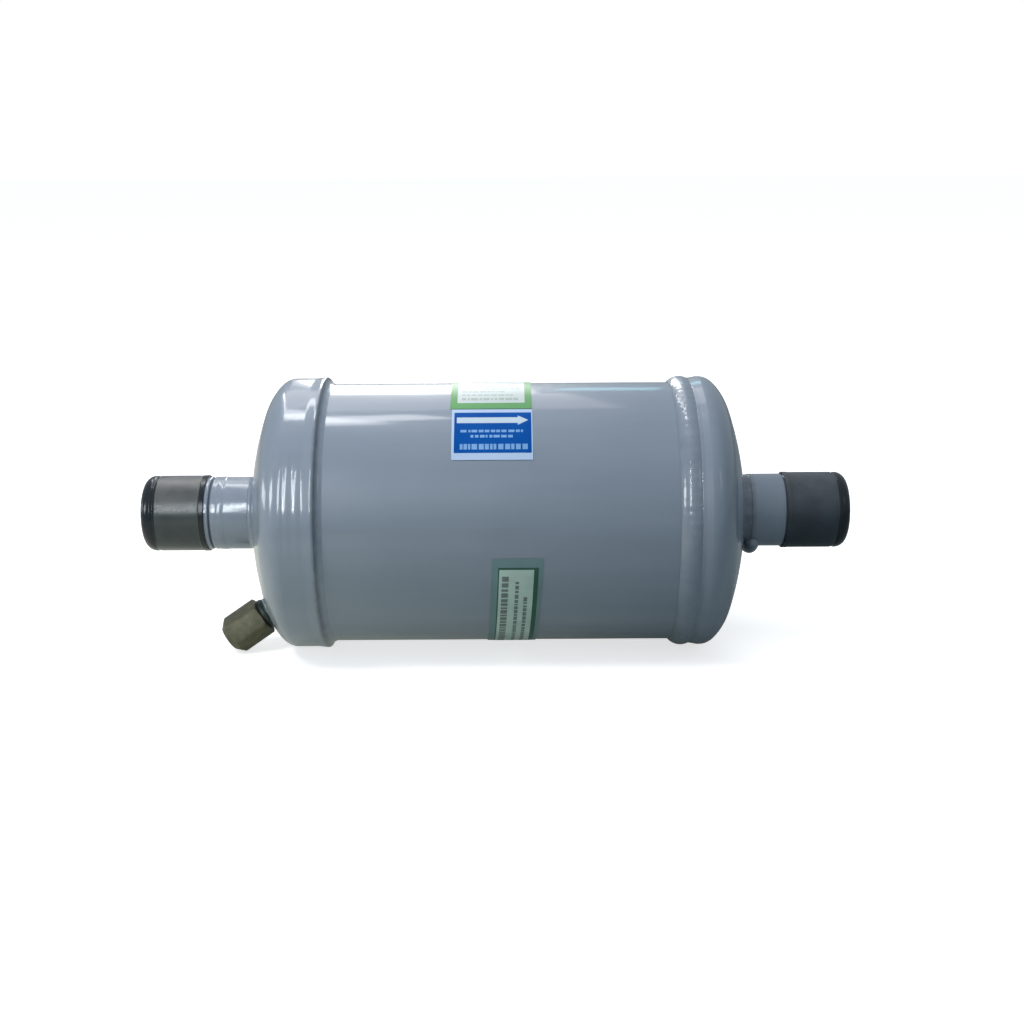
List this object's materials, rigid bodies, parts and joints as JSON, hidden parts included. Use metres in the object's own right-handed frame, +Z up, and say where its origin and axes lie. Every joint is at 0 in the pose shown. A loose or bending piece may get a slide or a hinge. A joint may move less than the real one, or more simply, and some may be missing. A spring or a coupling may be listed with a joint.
{
  "type": "suction filter",
  "caption": "Welded steel suction line filter with a solder socket at each end, slip-on shipping caps, a capped service valve and a pleated element inside.",
  "frame": {"origin": "middle of the shell's length, on the axis that both sockets share", "axes": "+X is the way the gas flows, from the end with the valve to the plain end; +Z is up, with the valve low on the inlet end, turned 15 degrees from straight below towards -Y; the labels face -Y and up"},
  "size_m": [0.3113, 0.1203, 0.1202],
  "materials": {
    "body_paint": "grey enamel, semi-gloss, light orange peel",
    "weld_paint": "the same enamel over weld ripples",
    "socket_paint": "the same enamel, thinner on the tubes",
    "inlet_cap_plastic": "glossy, near black",
    "outlet_cap_plastic": "satin, dark grey",
    "valve_brass": "tarnished, green-black",
    "hexagon_brass": "olive, tarnished, greenish patches",
    "blue_label": "printed film, blue with a white border",
    "green_label": "printed film, white with a green border",
    "gasket_rubber": "black, matt",
    "felt": "pressed wool felt, undyed",
    "pleated_sheet": "resin-bonded fibre sheet",
    "plated_steel": "zinc plated, pressed",
    "spring_steel": "drawn wire, oiled"
  },
  "bodies": {
    "root": {"shell": "body_paint", "inlet_end_cap": "body_paint", "outlet_end_cap": "body_paint", "inlet_seam_weld": "weld_paint", "outlet_seam_weld": "weld_paint", "inlet_socket_fitting": "socket_paint", "outlet_socket_fitting": "socket_paint", "inlet_port_weld": "weld_paint", "outlet_port_weld": "weld_paint", "valve_stem": "valve_brass", "valve_braze_ring": "weld_paint", "valve_core_body": "valve_brass", "valve_core_spring": "spring_steel", "flow_label": "blue_label", "upper_label": "green_label", "lower_label": "green_label", "outlet_baffle": "plated_steel", "felt_ring": "felt", "element_open_disc": "plated_steel", "element_closed_disc": "plated_steel", "element_media": "pleated_sheet", "element_core_tube": "plated_steel", "inlet_spider": "plated_steel", "element_spring": "spring_steel"},
    "inlet_shipping_cap": {"inlet_shipping_cap": "inlet_cap_plastic"},
    "outlet_shipping_cap": {"outlet_shipping_cap": "outlet_cap_plastic"},
    "valve_cap_lift": {"valve_cap_gasket": "gasket_rubber"},
    "valve_cap": {"valve_cap": "hexagon_brass"},
    "valve_core_pin": {"valve_core_pin": "valve_brass", "valve_core_seal": "gasket_rubber"}
  },
  "joints": [
    {"name": "inlet_cap_slide", "type": "slide", "parent": "root", "child": "inlet_shipping_cap", "axis": [-1, 0, 0], "range_m": [0, 0.08]},
    {"name": "outlet_cap_slide", "type": "slide", "parent": "root", "child": "outlet_shipping_cap", "axis": [1, 0, 0], "range_m": [0, 0.08]},
    {"name": "valve_cap_rise", "type": "slide", "parent": "root", "child": "valve_cap_lift", "axis": [-0.8241, -0.1466, -0.5471], "range_m": [0, 0.01397]},
    {"name": "valve_cap_turn", "type": "hinge", "parent": "valve_cap_lift", "child": "valve_cap", "pos_m": [-0.10149, -0.01118, -0.04173], "axis": [-0.8241, -0.1466, -0.5471], "range_deg": [0, 3960]},
    {"name": "core_pin_press", "type": "slide", "parent": "root", "child": "valve_core_pin", "axis": [0.8241, 0.1466, 0.5471], "range_m": [0, 0.0018], "stiffness_N_per_m": 900, "springref_m": -0.003, "deforming": ["valve_core_spring"]}
  ],
  "couplings": [
    {"joint": "valve_cap_rise", "follows": "valve_cap_turn", "m_per_rad": 0.00020213}
  ]
}
